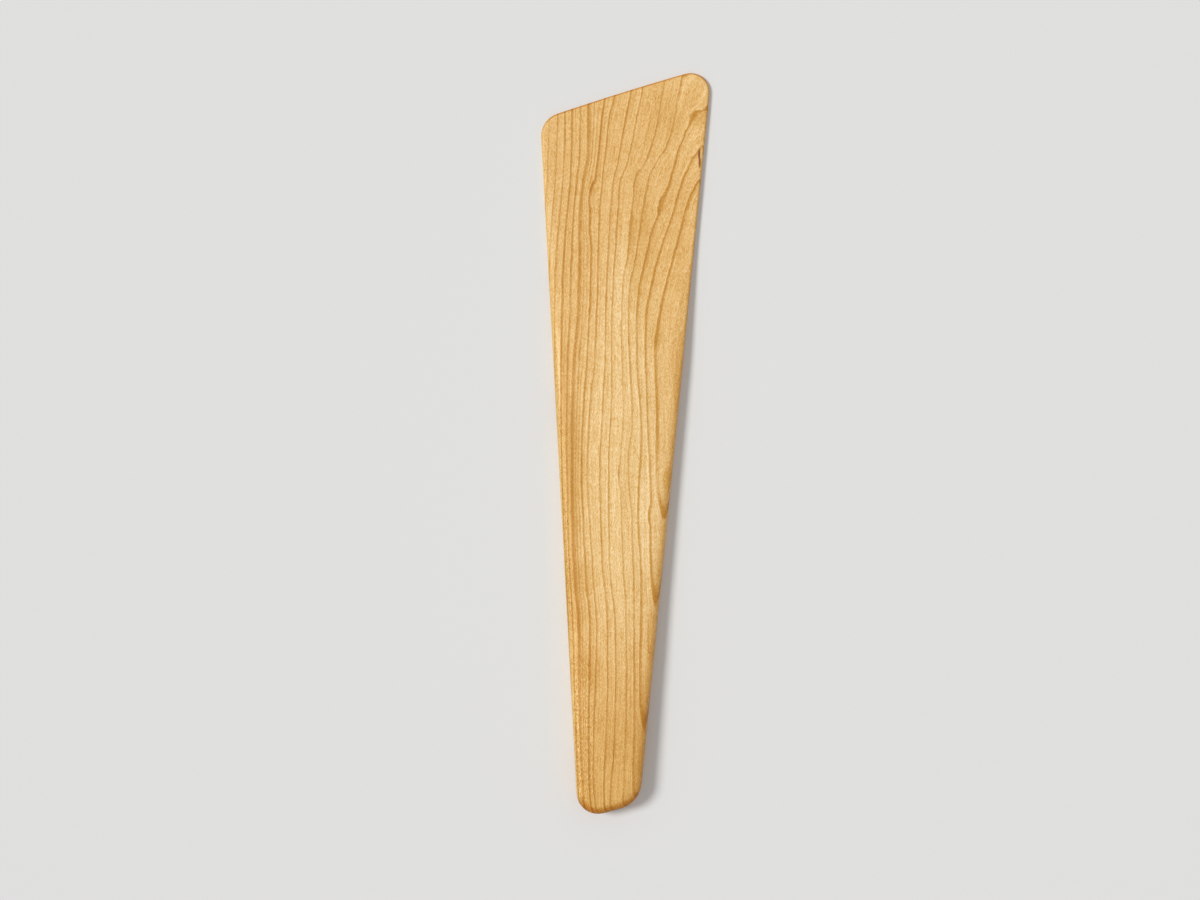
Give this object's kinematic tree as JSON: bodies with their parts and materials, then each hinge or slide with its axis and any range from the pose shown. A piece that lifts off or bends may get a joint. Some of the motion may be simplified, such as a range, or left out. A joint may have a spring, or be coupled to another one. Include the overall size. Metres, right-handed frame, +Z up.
{
  "type": "wooden turner",
  "caption": "Flat wooden kitchen turner: slim tapering grip, thin wide blade with a slanted working edge and rounded corners, shaped from one board.",
  "frame": {"origin": "under the middle of the outline's bounding box, on the plane of the flat underside", "axes": "+Y along the length, from the butt towards the slanted working edge; +X across the board, towards the blade's long side; +Z up, square to the flat underside"},
  "size_m": [0.072, 0.318, 0.0121],
  "materials": {
    "oiled_maple": "oiled, hand sanded, satin"
  },
  "bodies": {
    "root": {"turner": "oiled_maple"}
  },
  "joints": []
}
